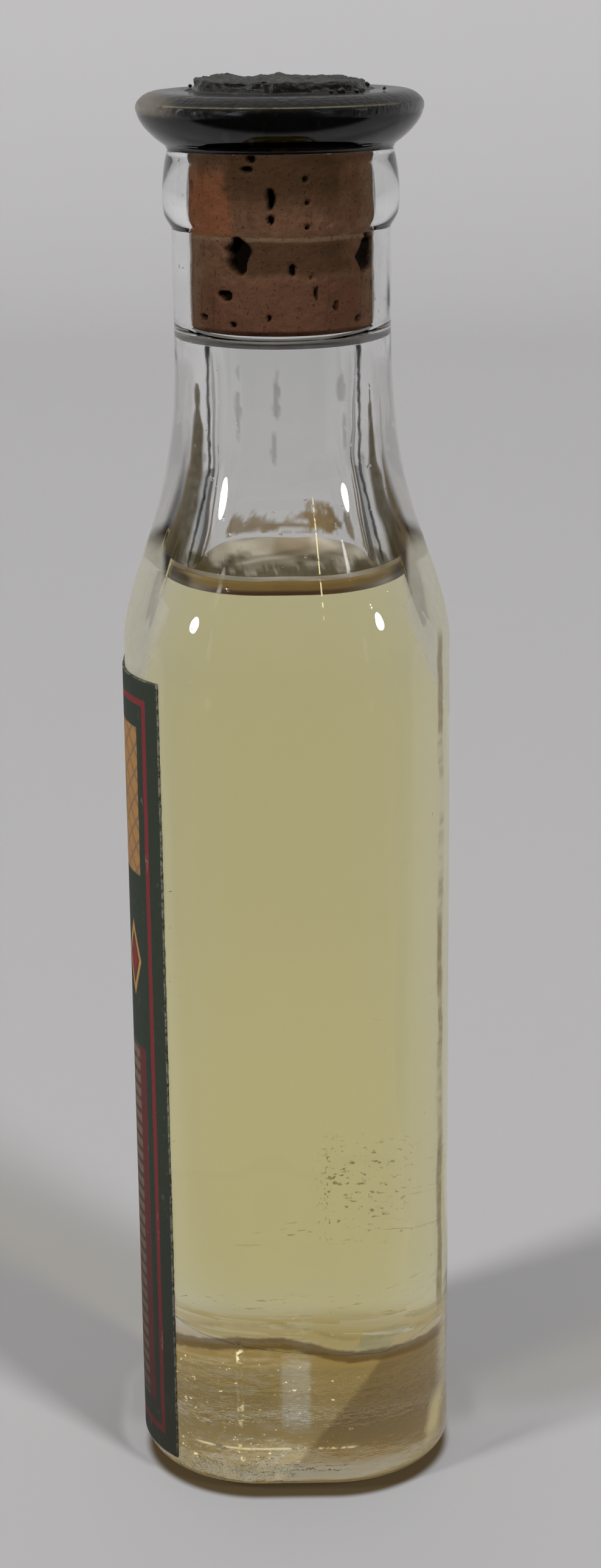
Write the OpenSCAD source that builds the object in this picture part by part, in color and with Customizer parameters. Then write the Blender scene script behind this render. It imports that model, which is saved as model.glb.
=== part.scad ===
// Small square glass bottle with a flared lip, closed by a cork that a plug of black wax covers.
// It stands on the table at zero height, with its front towards -Y and its label on the -X side.

/* [Body] */
// Width of the square body, side to side
body_w = 19.1; // [18.5:0.1:24]
// Depth of the square body, front to back
body_d = 19.1; // [18.5:0.1:24]
// Radius of the four upright corners
corner_r = 7.4; // [5.5:0.1:8]
// Height of the upright walls, up to the foot of the shoulder
wall_h = 52.5; // [35:0.1:70]
// Radius of the rounded heel
heel_r = 1; // [0.6:0.1:2]
// Height of the foot that holds the heel off the table
foot_h = 0.6; // [0.3:0.05:1]
// How far the foot stands in from the walls
foot_in = 1.8; // [1.2:0.1:2.6]
// Thickness of the side walls
wall_t = 2.2; // [1.6:0.1:2.6]
// Thickness of the heavy base under the liquid
base_t = 8.3; // [5:0.1:12]
// Radius that rounds the edge of the floor inside, or as much of it as the cavity's corners allow
floor_r = 5; // [1:0.1:6]
// Depth of the hollow pressed into the underside
kick_h = 0.4; // [0.2:0.1:1]
// Width of the flat ring that the bottle stands on
foot_w = 1.5; // [1:0.1:2.5]

/* [Shoulder and neck] */
// Height of the shoulder, from the top of the walls to the straight neck
shoulder_h = 17.1; // [14:0.1:24]
// Thickness of the neck's wall round the cork
neck_wall = 0.91; // [0.6:0.01:1.4]
// Length of the straight neck, up to the collar
neck_l = 6.6; // [5:0.1:12]
// Width of the ledge in the neck, under the cork
ledge_w = 1.09; // [0.5:0.01:2]
// Height above the walls at which the bore starts to open into the body
bell_h = 10.6; // [9:0.1:13]
// How far below the walls' top the bell has opened to the cavity's full width
bell_drop = 8.5; // [2:0.1:12]

/* [Collar and lip] */
// How far the collar stands out from the neck
collar_stand = 0.5; // [0.2:0.05:1]
// Height of the collar, up to the lip
collar_h = 4.6; // [3:0.1:6]
// How far the lip stands out from the neck
lip_stand = 1.9; // [1.2:0.05:2.6]
// Height of the flared lip
lip_h = 3; // [2.4:0.1:4]

/* [Stopper] */
// Diameter of the cork
cork_d = 10.6; // [10:0.1:11]
// Length of the cork
cork_l = 10.2; // [6:0.1:10.8]
// Bevel round the cork's lower end
cork_bevel = 0.35; // [0.1:0.05:0.8]
// Diameter of the wax disc that stands above the lip
wax_cap_d = 9.9; // [9:0.1:10.6]
// Height of the wax disc above the lip
wax_cap_h = 0.7; // [0.5:0.1:2]
// Gap between the stopper and the neck, on the radius
stopper_gap = 0.04; // [0.02:0.01:0.08]

/* [Contents and label] */
// Height of the liquid's surface above the walls
liquid_rise = 3.5; // [-20:0.1:4.5]
// Gap left between the liquid and the glass
liquid_gap = 0.05; // [0.02:0.01:0.1]
// Thickness of the paper label
paper_t = 0.15; // [0.1:0.01:0.3]
// Thickness of the paste under the label
paste_t = 0.03; // [0.02:0.01:0.06]
// Gap from the heel up to the label
label_foot = 0.1; // [0.1:0.1:6]
// Gap from the label up to the shoulder
label_head = 1.2; // [0.5:0.1:12]
// How far the label reaches round onto the front and the back
label_wrap = 2.1; // [1:0.1:5]

/* [Hidden] */
$fn = 96;
// Overrun of every cut
overrun = 1;
// How far a cutting outline stays off the faces it doesn't cut
clear = 0.3;
// Straight steps in a curved outline
steps = 8;
// Shoulder curve: the neck handle's share of the rise, then the foot handle's shares of spread and rise
neck_handle_share = 0.58;
foot_handle_shares = [1, 0.23];
// Bell curve: the bore handle's share of the rise, then the foot handle's shares of spread and rise
bore_handle_share = 0.2;
bell_handle_shares = [0.6, 0.46];
// Collar and lip: shares of the height of each and of how far it stands out from the neck
collar_shares = [[0, 0.02], [0.6, 0.12], [1, 0.3], [0.95, 0.55], [0.55, 0.85], [0.35, 0.96]];
lip_shares = [
    [0.13, 0.02], [0.4, 0.13], [0.62, 0.26], [0.82, 0.41], [0.95, 0.58], [1, 0.7],
    [0.97, 0.78], [0.86, 0.87], [0.68, 0.95], [0.46, 1]];
// Height of the sloping ledge in the neck, and the cork's gap above it
ledge_h = 0.55;
ledge_gap = 0.1;

seat_r = cork_d / 2 + stopper_gap;
bore_r = seat_r - ledge_w;
neck_r = seat_r + neck_wall;
neck_z = wall_h + shoulder_h;
collar_z = neck_z + neck_l;
lip_z = collar_z + collar_h;
lip_top = lip_z + lip_h;
bell_z = wall_h + bell_h;
bell_foot_z = wall_h - bell_drop;
cork_z = lip_z - cork_l;
seat_z = cork_z - ledge_gap;
liquid_level = wall_h + liquid_rise;
cavity_w = body_w - 2 * wall_t;
cavity_d = body_d - 2 * wall_t;
cavity_r = corner_r - wall_t;
label_z = foot_h + heel_r + label_foot;
label_h = wall_h - label_head - label_z;
label_out = paste_t + paper_t;

function mix(a, b, t) = a + (b - a) * t;
// A point of the cubic curve with handles p
function bezier(p, t) =
    pow(1 - t, 3) * p[0] + 3 * t * pow(1 - t, 2) * p[1] + 3 * t * t * (1 - t) * p[2] + pow(t, 3) * p[3];
// How far a corner of a rounded rectangle lies from its centre
function corner_reach(w, d, r) = norm([w / 2 - r, d / 2 - r]) + r;
// Outline from half width a at height top, down to half width b at height foot
function swell(a, b, top, foot, head_share, foot_shares) =
    [for (i = [0:steps]) bezier([
        [a, top],
        [a, top - head_share * (top - foot)],
        [mix(a, b, foot_shares[0]), foot + foot_shares[1] * (top - foot)],
        [b, foot]], i / steps)];
function shoulder_line(a, b) = swell(a, b, neck_z, wall_h, neck_handle_share, foot_handle_shares);
// Outline points of a band on the neck, from shares of how far it stands out and of its height
function band(shares, stand, z, h) = [for (s = shares) [neck_r + s[0] * stand, z + s[1] * h]];
// Lower right quarter round of a heel
function heel_line(half, r) =
    [for (i = [0:steps]) let (a = 90 * (i / steps - 1)) [half - r + r * cos(a), r + r * sin(a)]];
function reversed(p) = [for (i = [len(p) - 1:-1:0]) p[i]];

module heel_outline(half, h, r) {
    polygon(concat([[0, 0]], heel_line(half, r), [[half, h], [0, h]]));
}

// Upright column with rounded corners and a rounded lower edge
module column(w, d, r, h, edge) {
    for (turn = [0, 1])
        rotate(90 * turn)
            rotate([90, 0, 0])
                linear_extrude(height = turn == 0 ? d - 2 * r : w - 2 * r, center = true)
                    for (side = [0, 1])
                        mirror([side, 0]) heel_outline((turn == 0 ? w : d) / 2, h, edge);
    for (x = [-1, 1], y = [-1, 1])
        translate([x * (w / 2 - r), y * (d / 2 - r), 0])
            rotate_extrude() heel_outline(r, h, edge);
}

// What the shoulder's four sides leave, seen from one side
module flanks(half, depth) {
    side = shoulder_line(neck_r + clear, half + clear);
    rotate([90, 0, 0])
        linear_extrude(height = depth + 2 * overrun, center = true)
            for (s = [0, 1])
                mirror([s, 0])
                    polygon(concat([[0, -overrun], [half + clear, -overrun]], reversed(side), [[0, neck_z]]));
}

// What turning leaves: the round neck and the shoulder's corners
module turned_outside() {
    reach = corner_reach(body_w, body_d, corner_r) + clear;
    rotate_extrude()
        polygon(concat([[0, -overrun], [reach, -overrun]], reversed(shoulder_line(neck_r, reach)),
            band(collar_shares, collar_stand, collar_z, collar_h),
            band(lip_shares, lip_stand, lip_z, lip_h), [[0, lip_top]]));
}

module outside() {
    intersection() {
        turned_outside();
        union() {
            upright(-foot_in, foot_h + heel_r);
            intersection() {
                translate([0, 0, foot_h]) column(body_w, body_d, corner_r, neck_z - foot_h, heel_r);
                flanks(body_w / 2, body_d);
                rotate(90) flanks(body_d / 2, body_w);
            }
            translate([0, 0, neck_z]) cylinder(h = lip_top - neck_z + overrun, r = neck_r + lip_stand + overrun);
        }
    }
}

// Space for the liquid, up to where the bore starts to open, a gap smaller all round
module cavity(gap) {
    reach = corner_reach(cavity_w, cavity_d, cavity_r) + clear;
    intersection() {
        translate([0, 0, base_t + gap])
            column(cavity_w - 2 * gap, cavity_d - 2 * gap, cavity_r - gap, bell_z - base_t,
                min(floor_r, cavity_r - gap));
        rotate_extrude()
            polygon(concat([[0, 0], [reach - gap, 0]],
                reversed(swell(bore_r - gap, reach - gap, bell_z, bell_foot_z, bore_handle_share, bell_handle_shares)),
                [[0, bell_z]]));
    }
}

module glass_bottle() {
    kick_r = min(body_w, body_d) / 2 - foot_in - foot_w;
    kick_ball_r = (kick_r * kick_r + kick_h * kick_h) / (2 * kick_h);
    color([0.88, 0.92, 0.9, 0.35])
        difference() {
            outside();
            cavity(0);
            translate([0, 0, bell_z - clear]) cylinder(h = lip_top - bell_z + overrun, r = bore_r);
            translate([0, 0, seat_z - ledge_h]) cylinder(h = ledge_h, r1 = bore_r, r2 = seat_r);
            translate([0, 0, seat_z]) cylinder(h = lip_top - seat_z + overrun, r = seat_r);
            translate([0, 0, kick_h - kick_ball_r]) sphere(kick_ball_r);
        }
}

module liquid() {
    color([0.76, 0.7, 0.36])
        intersection() {
            cavity(liquid_gap);
            cylinder(h = liquid_level, d = body_w + body_d);
        }
}

// Paper pasted round the left side, with its two upright edges on the front and the back
module label() {
    color([0.18, 0.21, 0.17])
        translate([0, 0, label_z])
            intersection() {
                difference() {
                    upright(label_out, label_h);
                    translate([0, 0, -overrun]) upright(paste_t, label_h + 2 * overrun);
                }
                translate([-body_w, -body_d, -overrun])
                    cube([body_w / 2 + label_wrap, 2 * body_d, label_h + 2 * overrun]);
            }
}

// The body's upright outline, grown by a given skin, or shrunk where it is negative
module upright(skin, h) {
    linear_extrude(height = h) {
        square([body_w + 2 * skin, body_d - 2 * corner_r], center = true);
        square([body_w - 2 * corner_r, body_d + 2 * skin], center = true);
        for (x = [-1, 1], y = [-1, 1])
            translate([x * (body_w / 2 - corner_r), y * (body_d / 2 - corner_r)]) circle(corner_r + skin);
    }
}

module cork() {
    color([0.55, 0.38, 0.22])
        translate([0, 0, cork_z]) {
            cylinder(h = cork_bevel, r1 = cork_d / 2 - cork_bevel, r2 = cork_d / 2);
            translate([0, 0, cork_bevel]) cylinder(h = cork_l - cork_bevel, d = cork_d);
        }
}

module wax_seal() {
    color([0.07, 0.065, 0.06]) {
        translate([0, 0, lip_z]) cylinder(h = lip_h, d = cork_d);
        translate([0, 0, lip_top]) cylinder(h = wax_cap_h, d = wax_cap_d);
    }
}

glass_bottle();
liquid();
label();
cork();
wax_seal();
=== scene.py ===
import math

import bmesh
import bpy
from mathutils import Matrix, Vector, noise


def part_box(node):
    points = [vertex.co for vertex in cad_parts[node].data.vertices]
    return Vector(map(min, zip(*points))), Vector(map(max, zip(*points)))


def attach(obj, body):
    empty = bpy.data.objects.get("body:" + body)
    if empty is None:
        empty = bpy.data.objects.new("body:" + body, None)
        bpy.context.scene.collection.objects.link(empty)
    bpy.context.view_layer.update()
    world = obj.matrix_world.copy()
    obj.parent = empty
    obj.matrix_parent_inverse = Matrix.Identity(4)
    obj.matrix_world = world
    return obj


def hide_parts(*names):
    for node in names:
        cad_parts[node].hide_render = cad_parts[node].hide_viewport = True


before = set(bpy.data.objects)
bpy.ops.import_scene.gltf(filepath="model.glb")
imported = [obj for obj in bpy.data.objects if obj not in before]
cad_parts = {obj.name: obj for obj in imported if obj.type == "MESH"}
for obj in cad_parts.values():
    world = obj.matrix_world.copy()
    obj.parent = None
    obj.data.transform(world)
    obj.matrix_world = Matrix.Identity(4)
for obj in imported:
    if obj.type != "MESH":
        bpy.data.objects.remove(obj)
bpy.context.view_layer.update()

scene = bpy.context.scene
mm = 0.001  # every size below is in millimetres
print("frame loaded")


# Shader maths: a Wire is a socket that can stand in a Python sum
class Wire:
    def __init__(self, maker, socket):
        self.maker = maker
        self.socket = socket

    def math(self, operation, first, second):
        return self.maker.node("Math", {"operation": operation}, {0: first, 1: second})["Value"]

    def __add__(self, other):
        return self.math("ADD", self, other)

    def __radd__(self, other):
        return self.math("ADD", other, self)

    def __sub__(self, other):
        return self.math("SUBTRACT", self, other)

    def __rsub__(self, other):
        return self.math("SUBTRACT", other, self)

    def __mul__(self, other):
        return self.math("MULTIPLY", self, other)

    def __rmul__(self, other):
        return self.math("MULTIPLY", other, self)

    def __abs__(self):
        return self.math("ABSOLUTE", self, 0)

    def least(self, other):
        return self.math("MINIMUM", self, other)

    def most(self, other):
        return self.math("MAXIMUM", self, other)

    def repeat(self, step):  # counts from 0 to 1 again and again
        return self.math("FRACT", self * (1 / step), 0)

    def above(self, level, soft):  # 0 below the level and 1 above it, over a soft edge
        ramp = {"interpolation_type": "SMOOTHSTEP"}
        ends = {"Value": self, "From Min": level - soft, "From Max": level + soft}
        return self.maker.node("MapRange", ramp, ends)["Result"]

    def below(self, level, soft):
        return 1 - self.above(level, soft)

    def between(self, low, high, soft):  # 1 from low to high, over soft edges
        return self.above(low, soft) * self.below(high, soft)

    def near(self, reach, soft):  # 1 where the value is close to nought
        return (abs(self) * -1).above(-reach, soft)


class Node:
    def __init__(self, maker, made):
        self.maker = maker
        self.made = made

    def __getitem__(self, name):
        return Wire(self.maker, self.made.outputs[name])


class Finish:
    def __init__(self, name, kind="Material"):
        self.holder = getattr(bpy.data, kind.lower() + "s").new(name)
        self.holder.use_nodes = True
        self.tree = self.holder.node_tree
        self.tree.nodes.clear()
        self.output = self.tree.nodes.new("ShaderNodeOutput" + kind)

    def node(self, kind, settings=None, sockets=None):  # settings first, then the sockets' values and links
        made = self.tree.nodes.new("ShaderNode" + kind)
        for key, value in (settings or {}).items():
            setattr(made, key, value)
        for key, value in (sockets or {}).items():
            socket = made.inputs[key]
            if isinstance(value, Wire):
                self.tree.links.new(value.socket, socket)
            else:
                socket.default_value = (*value, 1) if socket.type == "RGBA" else value
        return Node(self, made)

    def place(self):  # where a point lies, in millimetres
        coords = self.node("TexCoord")["Object"]
        return self.node("VectorMath", {"operation": "SCALE"}, {0: coords, "Scale": 1 / mm})["Vector"]

    def axes(self, vector):
        split = self.node("SeparateXYZ", {}, {0: vector})
        return split["X"], split["Y"], split["Z"]

    def vector(self, x, y):
        return self.node("CombineXYZ", {}, {"X": x, "Y": y, "Z": 0.0})["Vector"]

    def reach(self, vector):  # how long a vector is
        return self.node("VectorMath", {"operation": "LENGTH"}, {0: vector})["Value"]

    def painted(self, name):  # what the mesh stores at each vertex
        return self.node("Attribute", {"attribute_name": name})["Fac"]

    def grain(self, vector, size, detail, rough, stretch=(1, 1, 1)):  # noise from 0 to 1, of a size in mm
        turned = self.node("Mapping", {}, {"Vector": vector, "Scale": stretch})["Vector"]
        look = {"Vector": turned, "Scale": 1 / size, "Detail": detail, "Roughness": rough}
        return self.node("TexNoise", {}, look)["Fac"]

    def mix(self, share, first, second):
        return self.node("Mix", {"data_type": "RGBA"}, {0: share, 6: first, 7: second})[2]

    def bump(self, height, depth, strength):  # height from 0 to 1 stands for a depth in mm
        sockets = {"Height": height, "Distance": depth * mm, "Strength": strength}
        return self.node("Bump", {}, sockets)["Normal"]

    def shader(self, kind, colour, sockets=None):
        made = self.node("Bsdf" + kind, {}, {"Color": colour, **(sockets or {})})
        return made["BSDF"]

    def solid(self, sockets):
        return self.node("BsdfPrincipled", {}, sockets)["BSDF"]

    def layer(self, share, under, over):  # lays one shader over another
        return self.node("MixShader", {}, {0: share, 1: under, 2: over})["Shader"]

    def milk(self, dull, glow, share):  # a dull coat that light also passes through
        return self.layer(share, self.shader("Diffuse", dull), self.shader("Translucent", glow))

    def finish(self, shader, volume=None):
        self.tree.links.new(shader.socket, self.output.inputs["Surface"])
        if volume is not None:
            self.tree.links.new(volume.socket, self.output.inputs["Volume"])
        return self.holder


def curve(handles, share):  # a point of the cubic curve through four handles
    weights = ((1 - share) ** 3, 3 * share * (1 - share) ** 2, 3 * share ** 2 * (1 - share), share ** 3)
    return tuple(sum(w * h[k] for w, h in zip(weights, handles)) for k in range(len(handles[0])))


def ease(value):
    value = min(1, max(0, value))
    return value * value * (3 - 2 * value)


def blendIn(first, second, share):
    return first + (second - first) * share


def away(co):  # how far a place lies from the upright axis
    return math.hypot(co.x, co.y)


def turnsFrom(co, angle):  # the turn in radians from a place to an angle in degrees, 0 being the front
    around = math.degrees(math.atan2(co.x, -co.y))
    return ((around - angle + 180) % 360 - 180) * math.pi / 180


def swell(top, foot, headShare, footShares, steps):  # points from one (half width, height) down to another
    spread = foot[0] - top[0]
    rise = top[1] - foot[1]
    headHandle = (top[0], top[1] - headShare * rise)
    footHandle = (top[0] + footShares[0] * spread, foot[1] + footShares[1] * rise)
    return [curve((top, headHandle, footHandle, foot), i / steps) for i in range(steps + 1)]


def straight(first, last, steps):
    return [tuple(blendIn(a, b, i / steps) for a, b in zip(first, last)) for i in range(1, steps + 1)]


def quarter(centre, radius, start, end, steps):
    angles = [math.radians(blendIn(start, end, i / steps)) for i in range(1, steps + 1)]
    return [(centre[0] + radius * math.cos(a), centre[1] + radius * math.sin(a)) for a in angles]


def spun(outline, segments):  # turns an outline of (radius, height) points round the upright axis
    bm = bmesh.new()
    verts = [bm.verts.new((radius, 0, height)) for radius, height in outline]
    edges = [bm.edges.new(pair) for pair in zip(verts, verts[1:])]
    bmesh.ops.spin(
        bm, geom=verts + edges, cent=(0, 0, 0), axis=(0, 0, 1), angle=2 * math.pi,
        steps=segments, use_merge=True,
    )
    bmesh.ops.remove_doubles(bm, verts=bm.verts, dist=0.0005)
    bmesh.ops.recalc_face_normals(bm, faces=bm.faces)
    return bm


def asObject(name, bm, materials):
    bmesh.ops.scale(bm, vec=(mm, mm, mm), verts=bm.verts)
    for face in bm.faces:
        face.smooth = True
    mesh = bpy.data.meshes.new(name)
    bm.to_mesh(mesh)
    bm.free()
    for material in materials:
        mesh.materials.append(material)
    made = bpy.data.objects.new(name, mesh)
    scene.collection.objects.link(made)
    print("made", name, len(mesh.polygons), "faces")
    return made


def asPiece(name, bm, body, materials, replaced):
    piece = asObject(name, bm, materials)
    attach(piece, body)
    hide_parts(*replaced)


# Glass bottle and the liquid in it
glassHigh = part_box("glass_bottle")[1] / mm
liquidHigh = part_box("liquid")[1] / mm
bottle = {
    "half": glassHigh.x, "flat": 2.15, "wallHeight": 52.5, "neckHeight": 69.6, "roundHeight": 65.5,
    "shoulderShares": (0.58, (1, 0.23)),
    "heel": 1.0, "footHeight": 0.6, "footIn": 1.8, "footRing": 1.5, "footRound": 0.25, "kick": 0.4,
    "wall": 2.2, "base": 8.3, "floorRound": 3.4, "floorDish": 0.1, "floorTilt": 0.13, "floorWave": 0.25,
    "bellHeight": 63.1, "bellFoot": 48.5, "bellShares": (0.287, (1.063, 0.116)),
    "neck": 6.25, "bore": 4.25, "seat": 5.34, "ledgeFoot": 69.9, "ledgeTop": 70.45, "ledgeRound": 0.35,
    "collarFoot": 76.2, "collarRise": 4.6, "collarStand": 0.5,
    "lipFoot": 80.8, "lipRise": 3.0, "lipStand": 1.9,
    "collarShares": [
        (0, 0.02), (0.5, 0.1), (0.85, 0.18), (0.98, 0.3), (1, 0.42), (0.95, 0.55), (0.8, 0.7), (0.6, 0.84),
        (0.32, 0.96),
    ],
    "lipShares": [
        (0.16, 0.02), (0.28, 0.07), (0.4, 0.13), (0.52, 0.195), (0.63, 0.265), (0.74, 0.34), (0.83, 0.42),
        (0.905, 0.5), (0.955, 0.58), (0.985, 0.65), (1, 0.71), (0.985, 0.76), (0.94, 0.82), (0.86, 0.875),
        (0.76, 0.925), (0.64, 0.965), (0.5, 0.99), (0.35, 1),
    ],
    "segments": 240, "wallRows": 45, "curveRows": 70, "boreRows": 40, "seatRows": 30, "kickRows": 12,
    "floorRows": 6, "bowlRows": 22,
    "bigWave": 0.05, "smallWave": 0.03, "underWave": 0.06, "underGrain": 1.4,
    "ior": 1.5, "bowlIor": 1.015, "shadow": (0.74, 0.74, 0.74), "clear": (0.985, 0.99, 0.985),
    # Dried stains: place round the wall from the front in degrees, height, width, length, strength
    "stains": [
        (180, 57.4, 9.0, 0.5, 0.9), (-150, 57.6, 2.6, 1.5, 0.8), (-166, 57.0, 0.6, 2.6, 0.7),
        (-140, 57.2, 0.6, 2.4, 0.6), (152, 57.9, 3.0, 1.9, 1.0), (128, 57.9, 1.4, 1.9, 0.8),
        (172, 56.4, 4.5, 1.5, 0.5), (0, 56.7, 21.0, 2.3, 0.8), (-5, 67.2, 0.35, 3.2, 0.35),
        (-7, 64.2, 0.25, 2.6, 0.3), (42, 67.5, 0.5, 1.8, 0.3), (44, 64.8, 0.3, 2.4, 0.25),
        (60, 63.0, 0.5, 1.0, 0.4), (-62, 63.3, 0.5, 1.0, 0.4), (-32, 66.5, 0.3, 4.0, 0.3),
    ],
    # Olive flames in the shoulder, painted light that stands in for the liquid's yellow bent through the
    # thick glass: place round the wall at the foot and at the tip in degrees, height of foot and tip, half
    # width at the foot in degrees, how blunt the tip is, strength
    "flames": [
        (-72, -70, 55.0, 67.6, 20, 0.6, 0.95), (73, 70, 55.0, 67.2, 17, 0.9, 0.95),
        (88, 86, 57.5, 66.0, 6, 0.6, 0.85), (-98, -95, 55.0, 63.0, 8, 0.6, 0.8),
        (100, 98, 55.0, 62.0, 8, 0.6, 0.8),
    ],
    # Colours of the dried stains and of the flames' painted light, in front and behind
    "frontStain": (0.056, 0.040, 0.009), "backStain": (0.36, 0.24, 0.09),
    # The heavy base: its colours, mostly painted light and shade seen through it, and where its marks lie
    "amber": (0.60, 0.42, 0.13), "brown": (0.25, 0.155, 0.045), "paleAmber": (0.92, 0.82, 0.54),
    "rim": (0.37, 0.31, 0.16), "rimHeight": 2.3, "pane": (0.94, 0.90, 0.74),
    "paneAcross": (-0.9, 0.8), "paneUp": (4.8, 9.4),
    "haze": (0.45, 0.40, 0.28), "line": (0.09, 0.042, 0.004), "lineHeight": 10.62,
    "olive": (0.34, 0.27, 0.11), "oliveUp": (58.4, 64.5),
    "glint": (0.84, 0.75, 0.42), "edgeUp": (3.34, 3.48), "edgeAcross": (-6.2, 3.6), "bowUp": (2.3, 4.9),
    "spotAcross": -3.45, "fleckUp": (1.9, 9.2), "seamUp": (55.4, 61.8), "gleamUp": (83.19, 83.25),
    "settled": (0.17, 0.115, 0.045), "speckAcross": (1.6, 4.2), "speckUp": (12, 18.5),
    # Neck, shoulder and lip
    "corkGlass": (70.4, 80.7), "corkFront": {"outside": -3.4, "inside": -2.9},
    "thin": (0.97, 0.97, 0.965), "thinUp": (58.0, 69.0),
    "milkyCorner": (0.60, 0.57, 0.47), "cornerUp": (46.5, 58.8), "milkyHeel": (0.62, 0.54, 0.38),
    "smear": (0.010, 0.009, 0.008), "smearFoot": 83.15, "dust": (0.30, 0.26, 0.20), "dustFoot": 82.7,
    "shade": (0.008, 0.008, 0.008), "shadeUp": (58.2, 70.0),
    "streak": (0.17, 0.12, 0.06), "streakUp": (11, 53.5),
    "frosted": (0.80, 0.79, 0.77), "frostGlow": (0.90, 0.89, 0.87),
}
drink = {
    "level": liquidHigh.z, "climb": 0.85, "climbWidth": 0.7, "film": 0.01, "ior": 1.36, "steps": 40,
    "takes": (1.5, 7.5, 52.0),  # how much light a metre takes, by colour
    "clear": (1, 1, 1), "edgeFilm": (0.34, 0.22, 0.065), "paleFilm": (0.78, 0.73, 0.61),
}


def insideLine(shrink=0.0):  # the cavity's half width by height, from the middle of the floor to the bore
    b = bottle
    half = b["half"] - b["wall"] - shrink
    floor = b["base"] + shrink
    flatEnd = half - b["floorRound"]
    rows = b["floorRows"]
    line = [(0, floor - b["floorDish"])]
    line += [(flatEnd * i / rows, floor - b["floorDish"] * (1 - (i / rows) ** 2)) for i in range(1, rows + 1)]
    line += quarter((flatEnd, floor + b["floorRound"]), b["floorRound"], -90, 0, b["bowlRows"])
    line += straight(line[-1], (half, b["bellFoot"]), b["wallRows"])
    bell = swell(
        (b["bore"] - shrink, b["bellHeight"]), (half, b["bellFoot"]), *b["bellShares"], b["curveRows"])
    return line + bell[::-1][1:]


def outsideLine():  # the outside's half width by height, from the middle of the underside to the lip's mouth
    b = bottle
    ring = b["half"] - b["footIn"] - b["footRing"]
    rows = b["kickRows"]
    line = [(0, b["kick"])]
    line += [(ring * i / rows, b["kick"] * (1 - (i / rows) ** 2)) for i in range(1, rows + 1)]
    side, soft = b["half"] - b["footIn"], b["footRound"]
    line += straight((ring, 0), (side - soft, 0), 6)
    line += quarter((side - soft, soft), soft, -90, 0, 4)
    line += straight((side, soft), (side + 0.1, b["footHeight"]), 2)
    line += straight(line[-1], (b["half"] - b["heel"], b["footHeight"]), 3)
    line += quarter((b["half"] - b["heel"], b["footHeight"] + b["heel"]), b["heel"], -90, 0, 12)
    line += straight(line[-1], (b["half"], b["wallHeight"]), b["wallRows"])
    shoulder = swell(
        (b["neck"], b["neckHeight"]), (b["half"], b["wallHeight"]), *b["shoulderShares"], b["curveRows"])
    line += shoulder[::-1][1:]
    line += straight(line[-1], (b["neck"], b["collarFoot"]), 12)
    for band in ("collar", "lip"):
        stand, foot, rise = b[band + "Stand"], b[band + "Foot"], b[band + "Rise"]
        line += [(b["neck"] + out * stand, foot + up * rise) for out, up in b[band + "Shares"]]
    return line


def squareReach(angle, half, flat):  # how far a rounded square reaches, flat being half its straight stretch
    turned = abs((angle + math.pi / 4) % (math.pi / 2) - math.pi / 4)
    if half * math.tan(turned) <= flat:
        return half / math.cos(turned)
    lean = math.cos(turned) + math.sin(turned)
    return flat * lean + math.sqrt((flat * lean) ** 2 - 2 * flat ** 2 + (half - flat) ** 2)


def innerReach(co):  # how far the inner wall lies from the axis, on the side where a place lies
    return squareReach(math.atan2(co.y, co.x), bottle["half"] - bottle["wall"], bottle["flat"])


def flatAt(radius, height):
    b = bottle
    share = ease((b["roundHeight"] - height) / (b["roundHeight"] - b["wallHeight"]))
    return b["flat"] * share * min(1, radius / (b["half"] - b["wall"] - b["floorRound"]))


def makeSquare(bm):
    for vert in bm.verts:
        radius = away(vert.co)
        if radius < 0.01:
            continue
        reach = squareReach(math.atan2(vert.co.y, vert.co.x), radius, flatAt(radius, vert.co.z))
        vert.co.x *= reach / radius
        vert.co.y *= reach / radius


def makeUneven(bm):  # the slight waves of pressed glass, the same on the glass and on what it holds
    b = bottle
    for vert in bm.verts:
        radius = away(vert.co)
        if radius < 0.01:
            continue
        wave = b["bigWave"] * noise.noise(vert.co / 9) + b["smallWave"] * noise.noise(vert.co / 2.5)
        fade = ease(vert.co.z / 6) * ease((78 - vert.co.z) / 6)
        vert.co.x += vert.co.x / radius * wave * fade
        vert.co.y += vert.co.y / radius * wave * fade
    for vert in bm.verts:  # the cavity's floor slopes and is wavy
        if vert.co.z > b["base"] - 0.6 and away(vert.co) < innerReach(vert.co) + 0.3:
            dip = b["floorWave"] * noise.noise(vert.co / 2.6) - b["floorTilt"] * vert.co.x
            vert.co.z += dip * ease((b["base"] + 6 - vert.co.z) / 6)


def stainAndFlameLightAt(place):  # how strongly the dried stains, and the flames of painted light, cover a place on the inner wall
    radius = away(place)
    around = math.degrees(math.atan2(place.x, -place.y))
    strongest = 0
    for angle, height, width, length, strength in bottle["stains"]:
        across = turnsFrom(place, angle) * radius / (width / 2)
        along = (place.z - height) / (length / 2)
        ragged = 1 + 0.9 * noise.noise(place * 1.3) + 0.4 * noise.noise(place * 4)
        inside = 1 - math.hypot(across, along) / max(0.2, ragged)
        strongest = max(strongest, min(1, max(0, inside) * 3) * strength)
    for foot, tip, low, high, width, blunt, strength in bottle["flames"]:
        climb = (place.z - low) / (high - low) + 0.12 * noise.noise(place * 0.9)
        if climb > 1:
            continue
        middle = blendIn(foot, tip, max(0, climb)) + 2.5 * noise.noise(place * 0.7 + Vector((0, 0, 9)))
        inside = 1 - abs(around - middle) / (width * (1 - max(0, climb)) ** blunt + 0.01)
        strongest = max(strongest, ease(inside * 2.2) * strength)
    return strongest


def lineAt(f, place):  # how far a place lies above the uneven line where the base meets the liquid
    x, y, z = f.axes(place)
    warp = (f.grain(place, 0.8, 4, 0.6) - 0.5) * 0.35
    drop = x.above(1.3, 2.6) * 1.05
    return z + warp - bottle["lineHeight"] + drop + (x - 4).most(0) * 0.06 + (-3.6 - x).most(0) * 0.17


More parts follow.
